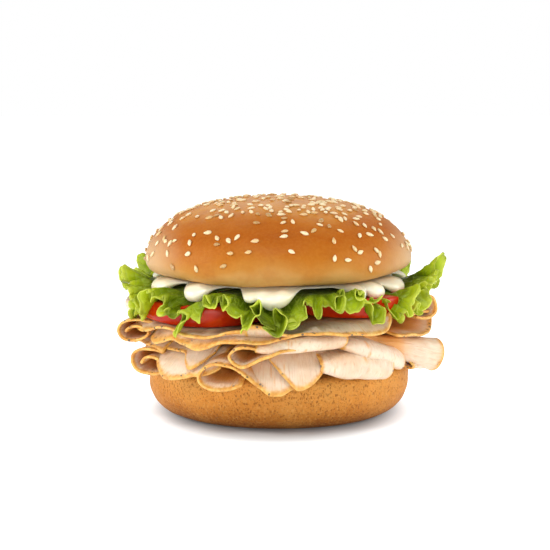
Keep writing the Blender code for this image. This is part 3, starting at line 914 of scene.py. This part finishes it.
def turkeyLook():
    look, tree, surface = startLook("turkey")
    place = objectPlace(tree)
    values = {"Vector": onSheet(tree), "Scale": (0.9, 0.16, 1.0)}
    stretched = addNode(tree, "ShaderNodeMapping", values).outputs[0]
    fibre = grain(tree, stretched, 1.5, 4.0, 0.6, 0.6)
    patchy = grain(tree, place, 85.0, 3.0)
    fine = grain(tree, place, 420.0, 3.0)
    meat = shades(tree, patchy, (
        (0.30, (0.72, 0.49, 0.31)),
        (0.46, (0.77, 0.58, 0.41)),
        (0.60, (0.83, 0.67, 0.51)),
        (0.76, (0.80, 0.58, 0.45)),
    ))
    meat = tint(tree, span(tree, fibre, 0.46, 0.30, 0.0, 0.5), meat, (0.62, 0.34, 0.17))
    meat = tint(tree, span(tree, fibre, 0.55, 0.75, 0.0, 0.4), meat, (0.90, 0.80, 0.67))
    # a few wide orange smears where the crust's juice ran in
    wide = span(tree, grain(tree, stretched, 0.5, 2.0), 0.56, 0.68)
    smear = sums(tree, "MULTIPLY", wide, span(tree, patchy, 0.46, 0.60))
    meat = tint(tree, sums(tree, "MULTIPLY", smear, 0.6), meat, (0.78, 0.38, 0.08))
    golden = shades(tree, fine, (
        (0.28, (0.52, 0.20, 0.016)),
        (0.48, (0.74, 0.36, 0.042)),
        (0.70, (0.82, 0.52, 0.12)),
    ))
    pepper = span(tree, cells(tree, place, 520.0), 0.30, 0.20)
    pepper = sums(tree, "MULTIPLY", pepper, span(tree, grain(tree, place, 150.0, 1.0), 0.46, 0.56))
    golden = tint(tree, pepper, golden, (0.035, 0.018, 0.008))
    edge = sums(tree, "ADD", mark(tree, "edge"), centred(tree, fine, 0.7))
    colour = tint(tree, span(tree, edge, 0.85, 0.20, 0.0, 0.92), meat, golden)
    # painted shade: a deep orange where the inside mark says the slice lies deep in folds and the pile
    colour = tint(tree, sums(tree, "MULTIPLY", mark(tree, "inside"), 0.85), colour, (0.72, 0.30, 0.030))
    tree.links.new(colour, surface.inputs["Base Color"])
    setSurface(surface, Roughness=0.38, Specular_IOR_Level=0.5)
    setSurface(surface, Subsurface_Weight=0.18, Subsurface_Scale=0.002, Subsurface_Radius=(1.0, 0.5, 0.25))
    creases = grain(tree, stretched, 0.35, 2.0, 0.5, 1.2)
    bumps = sums(tree, "ADD", sums(tree, "MULTIPLY", fibre, 0.8), sums(tree, "MULTIPLY", fine, 0.4))
    bumps = sums(tree, "ADD", bumps, sums(tree, "MULTIPLY", creases, 2.2))
    relief(tree, surface, bumps, 0.5, 0.0007)
    return look


def makeTurkey():
    look = turkeyLook()
    for makeOne, table in ((makeEndFold, endFolds), (makeSideFold, sideFolds), (makeRoll, rolls)):
        for name, sizes in table.items():
            makeOne(name, *sizes, look, float(name[-2:]))  # the slice's number is the seed of its ripples


# Mayonnaise

mayo = {
    "level": 52.9 * mm,
    "half": 1.2 * mm,
    "radius": 44.0 * mm,
    "wellsFrom": 43.0 * mm,  # radius where the wells start to drop, and the length over which they do
    "wellsOver": 8.0 * mm,
    # heading, half width in degrees, how far out, how far down it wells and its half thickness, in mm
    "wells": (
        (-66, 11, 7.8, 3.4, 4.4), (-39, 8, 8.4, 4.4, 4.2), (-12, 5, 7.6, 4.6, 3.2),
        (-2, 10, 9.6, 5.4, 4.2), (35.5, 6, 8.2, 4.2, 3.8), (46, 7, 8.6, 3.8, 4.2),
        (64, 12, 7.8, 3.0, 4.2), (106, 9, 8.4, 3.4, 3.2), (141, 8, 8.8, 3.8, 3.4),
        (178, 8, 7.8, 3.0, 3.0), (222, 10, 8.4, 3.4, 3.4), (254, 8, 8.4, 3.0, 3.2),
    ),
}


def mayoWell(heading):
    out = down = thick = 0.0
    for middle, half, far, low, fat in mayo["wells"]:
        share = ease(1.15 - 0.72 * awayFrom(heading, middle) / half)
        out = max(out, far * share)
        down = max(down, low * share)
        thick = max(thick, fat * share)
    down *= 1.0 + 0.22 * ripple((heading * mm, 0.0, 0.0), 6 * mm, 3.0)
    return out * mm, down * mm, thick * mm


def mayoOuter(radius):  # 0 under the bun, 1 in the wells
    return ease((radius - mayo["wellsFrom"]) / mayo["wellsOver"])


def mayoLook():
    look, tree, surface = startLook("mayonnaise")
    place = objectPlace(tree)
    colour = shades(tree, grain(tree, place, 90.0, 2.0), (
        (0.3, (0.90, 0.83, 0.60)),
        (0.7, (0.95, 0.90, 0.72)),
    ))
    tree.links.new(colour, surface.inputs["Base Color"])
    setSurface(surface, Roughness=0.22, Coat_Weight=0.3)
    setSurface(surface, Subsurface_Weight=0.35, Subsurface_Scale=0.003, Subsurface_Radius=(1.0, 0.8, 0.5))
    relief(tree, surface, grain(tree, place, 240.0, 2.0), 0.12, 0.0004)
    return look


def makeMayonnaise():
    shape = bmesh.new()
    bmesh.ops.create_uvsphere(shape, u_segments=360, v_segments=44, radius=1.0)
    for vert in shape.verts:
        level = min(1.0, max(-1.0, vert.co.z))
        wide = math.sqrt(max(0.0, 1.0 - level * level))
        heading = math.degrees(math.atan2(vert.co.x, -vert.co.y))
        out, down, thick = mayoWell(heading)
        blob = min(out / (8.0 * mm), 1.0)
        radius = (mayo["radius"] + out) * wide ** blend(0.30, 0.16, blob) if wide > 1e-4 else 0.0
        outer = mayoOuter(radius)
        half = blend(mayo["half"], max(thick, mayo["half"]), outer)
        height = mayo["level"] + half * level - (down * 0.72 - 0.2 * mm) * outer
        spot = at(heading, radius, height)
        lumps = ease((radius - 42.0 * mm) / (7.0 * mm))
        spot += at(heading, 0.8 * mm * lumps * ripple(spot, 8 * mm, 1.0), 0.0)
        spot.z += 0.6 * mm * lumps * ripple(spot, 6 * mm, 4.0)
        vert.co = spot
    bmesh.ops.recalc_face_normals(shape, faces=shape.faces)
    finish("mayonnaiseSauce", shape, mayoLook(), ["mayonnaise"])


# Lettuce

leaves = {  # first and last heading
    "lettuce_1": (-99.0, -31.0),
    "lettuce_2": (-28.0, 41.0),
    "lettuce_3": (44.0, 112.0),
    "lettuce_4": (115.0, 186.0),
    "lettuce_5": (189.0, 258.0),
}
lettuce = {
    "level": 51.0 * mm,
    "start": 30.0 * mm,
    "turn": 49.0 * mm,  # radius where the leaf starts to hang over the filling
    "thickness": 0.32 * mm,
    "clear": 0.5 * mm,  # how far it keeps off the tomato
    "lean": 22.0,  # degrees by which the ruffles lean outwards
    "bend": 5.0 * mm,  # length over which the leaf turns from level to hanging
    "grow": 11.0 * mm,  # length over which the ruffles grow to their full height
    "ruffles": (1.4, 3.7, 2.6, 1.1),  # heights in mm of the wide, middling, short and tiny ones
    "press": 1.15,  # how far the leaf gives way under the mayonnaise, as a share of its drop
    "width": 18.0,  # width of the leaf as its veins are drawn, against its length in degrees
    # heading, half width in degrees and height in mm of the places where the frill stands up
    "lifts": (
        (-80, 13, 2.0), (-54, 7, 3.0), (-26, 11, 5.0), (-46, 5, 2.0), (18, 9, 2.5), (29, 6, 7.0),
        (56, 5, 3.0), (82, 15, 2.5), (130, 12, 2.0), (160, 10, 4.0), (200, 14, 3.0), (238, 10, 4.0),
    ),
    "across": 430,
    "along": 44,
    # heading and, from there on, the drop in degrees below level and the length of the hanging part in mm
    "hang": (
        (-180, 24, 10.0), (-150, 20, 10.5), (-120, 14, 11.0), (-99, -6, 9.0), (-84, 2, 8.0),
        (-72, 24, 9.0), (-55, 34, 10.0), (-40, 30, 9.5), (-28, 34, 10.0), (-18, 30, 9.0), (-9, 16, 8.5),
        (0, 16, 9.0), (8, 26, 8.0), (16, 32, 8.5), (25, 34, 9.0), (33, 6, 8.5), (42, 22, 10.0),
        (56, 14, 10.0), (72, -2, 8.5), (88, -12, 8.5), (104, 2, 9.5), (125, 16, 10.5), (150, 24, 10.0),
        (180, 24, 10.0),
    ),
}


def tomatoRoof(x, y, margin):
    found = 0.0
    for middle, radius, thickness, tilt in tomatoFloors.values():
        if math.hypot(x - middle.x, y - middle.y) < radius + margin:
            rise = (y - middle.y) * math.tan(math.radians(tilt))
            found = max(found, middle.z + thickness + rise)
    return found


def leafHang(heading):
    heading = (heading + 180.0) % 360.0 - 180.0
    rows = lettuce["hang"]
    for (first, dropFirst, longFirst), (last, dropLast, longLast) in zip(rows, rows[1:]):
        if heading <= last:
            share = ease((heading - first) / (last - first))
            return blend(dropFirst, dropLast, share), blend(longFirst, longLast, share)
    return rows[-1][1:]


def leafPoint(u, v, first, last, seed):
    # the leaf lies flat under the bun, then leans out over the filling, with ruffles that grow towards its
    # toothed edge
    heading = blend(first, last, u)
    turn = math.radians(heading)
    drop, long = leafHang(heading)
    ends = abs(2.0 * u - 1.0) ** 10
    long += 1.0 + 1.2 * math.sin(11.0 * turn + seed) - 3.5 * ends
    long += 1.1 * abs(math.sin(38.0 * turn + 1.6 * math.sin(7.0 * turn)))
    long += 1.5 * abs(math.sin(83.0 * turn + seed)) ** 0.7
    flat = lettuce["turn"] - lettuce["start"]
    reached = v * (flat + long * mm)
    hung = max(reached - flat, 0.0)
    frill = min(hung / lettuce["grow"], 1.15)
    before = min(hung, lettuce["bend"]) * 0.5
    radius = lettuce["start"] + min(reached, flat) + before + (hung - before) * math.cos(math.radians(drop))
    _, down, _ = mayoWell(heading)
    height = lettuce["level"] - (hung - before) * math.sin(math.radians(drop))
    height -= lettuce["press"] * down * mayoOuter(radius)
    wide = 13.0 * turn + seed + 0.9 * math.sin(4.0 * turn + seed)
    mid = 36.0 * turn + 2.3 * seed + 1.5 * math.sin(9.0 * turn) + 0.9 * frill
    short = 77.0 * turn + 1.7 * seed + 1.8 * math.sin(17.0 * turn) + 2.2 * frill
    tiny = 163.0 * turn + 2.4 * math.sin(37.0 * turn) + 3.5 * frill
    rough = 0.7 + 0.5 * ripple((turn * 0.05, seed * mm, 0.0), 11 * mm, 3.0)
    wideHigh, midHigh, shortHigh, tinyHigh = lettuce["ruffles"]
    up = wideHigh * math.sin(wide) * frill + midHigh * rough * math.sin(mid) * frill**1.1
    up += shortHigh * math.sin(short) * frill**1.2 + tinyHigh * math.sin(tiny) * frill**1.8
    if up < 0.0:
        up *= 0.8
    up += sum(high * hump(heading, middle, half) for middle, half, high in lettuce["lifts"]) * frill**0.8
    aside = 1.7 * math.sin(2.0 * mid + 0.8) * frill + 1.3 * math.cos(short) * frill**1.3
    out = 1.5 * math.cos(mid + 0.5) * frill + 1.0 * math.cos(short + 0.9) * frill**1.3
    out += 0.5 * math.cos(tiny) * frill**2
    lean = math.radians(lettuce["lean"])
    radius += (out * math.cos(lean) + up * math.sin(lean)) * mm
    height += (up * math.cos(lean) - out * math.sin(lean) * 0.4) * mm
    around = heading + math.degrees(aside * mm / max(radius, 20 * mm))
    spot = at(around, radius, height)
    spot += at(around, 0.8 * mm * frill * ripple(spot, 2.2 * mm, seed), 0.0)
    spot.z += 0.8 * mm * frill * ripple(spot, 2.6 * mm, 5.0 + seed)
    if radius < lettuce["turn"]:
        spot.z = max(spot.z, tomatoRoof(spot.x, spot.y, 1.0 * mm) + lettuce["clear"])
    return spot


def lettuceLook():
    look, tree, surface = startLook("lettuce")
    place = objectPlace(tree)
    frill = mark(tree, "frill")
    patchy = grain(tree, place, 110.0, 4.0)
    veins = cells(tree, onSheet(tree), 0.42, "DISTANCE_TO_EDGE")
    # darkest just past the bun's edge, painted shade under the crown's lip; lightest at the frilled edge,
    # partly the leaf's own paler edge and partly a painted highlight
    colour = shades(tree, frill, (
        (0.0, (0.40, 0.44, 0.10)),
        (0.52, (0.045, 0.075, 0.002)),
        (0.68, (0.13, 0.21, 0.002)),
        (0.86, (0.34, 0.47, 0.006)),
        (0.95, (0.52, 0.64, 0.018)),
        (1.0, (0.72, 0.80, 0.100)),
    ))
    colour = tint(tree, span(tree, patchy, 0.46, 0.68, 0.0, 0.75), colour, (0.10, 0.15, 0.002))
    colour = tint(tree, span(tree, veins, 0.07, 0.0, 0.0, 0.45), colour, (0.42, 0.56, 0.07))
    tree.links.new(colour, surface.inputs["Base Color"])
    setSurface(surface, Roughness=0.34, Specular_IOR_Level=0.25)
    puckers = sums(tree, "ADD", grain(tree, place, 330.0, 3.0), sums(tree, "MULTIPLY", veins, 1.2))
    relief(tree, surface, puckers, 0.8, 0.0008)
    glow = addNode(tree, "ShaderNodeBsdfTranslucent")
    tree.links.new(tint(tree, 0.4, colour, (0.58, 0.70, 0.02)), glow.inputs["Color"])
    mixed = addNode(tree, "ShaderNodeMixShader", {"Fac": 0.24})
    tree.links.new(surface.outputs[0], mixed.inputs[1])
    tree.links.new(glow.outputs[0], mixed.inputs[2])
    tree.links.new(mixed.outputs[0], tree.nodes["Material Output"].inputs["Surface"])
    return look


def makeLettuce():
    look = lettuceLook()
    for number, (node, (first, last)) in enumerate(leaves.items()):
        seed = 1.0 + 1.7 * number
        shape = sheet(
            lettuce["across"], lettuce["along"],
            lambda u, v: leafPoint(u, v**0.62, first, last, seed),
            lambda u, v: {"frill": v**0.62, "along": u * (last - first), "across": v * lettuce["width"]},
        )
        made = finish(node.replace("lettuce_", "lettuceLeaf_"), shape, look, [node])
        wall = made.modifiers.new("wall", "SOLIDIFY")
        wall.thickness = lettuce["thickness"]
        wall.offset = 0.0


makeCamera()
makeLight()
makeFloor()
print("stage ready")
makeHeel()
print("heel made")
makeTurkey()
print("turkey made")
makeTomatoes()
print("tomato made")
makeLettuce()
print("lettuce made")
makeMayonnaise()
print("mayonnaise made")
makeCrown()
makeSeeds()
print("crown and seeds made")
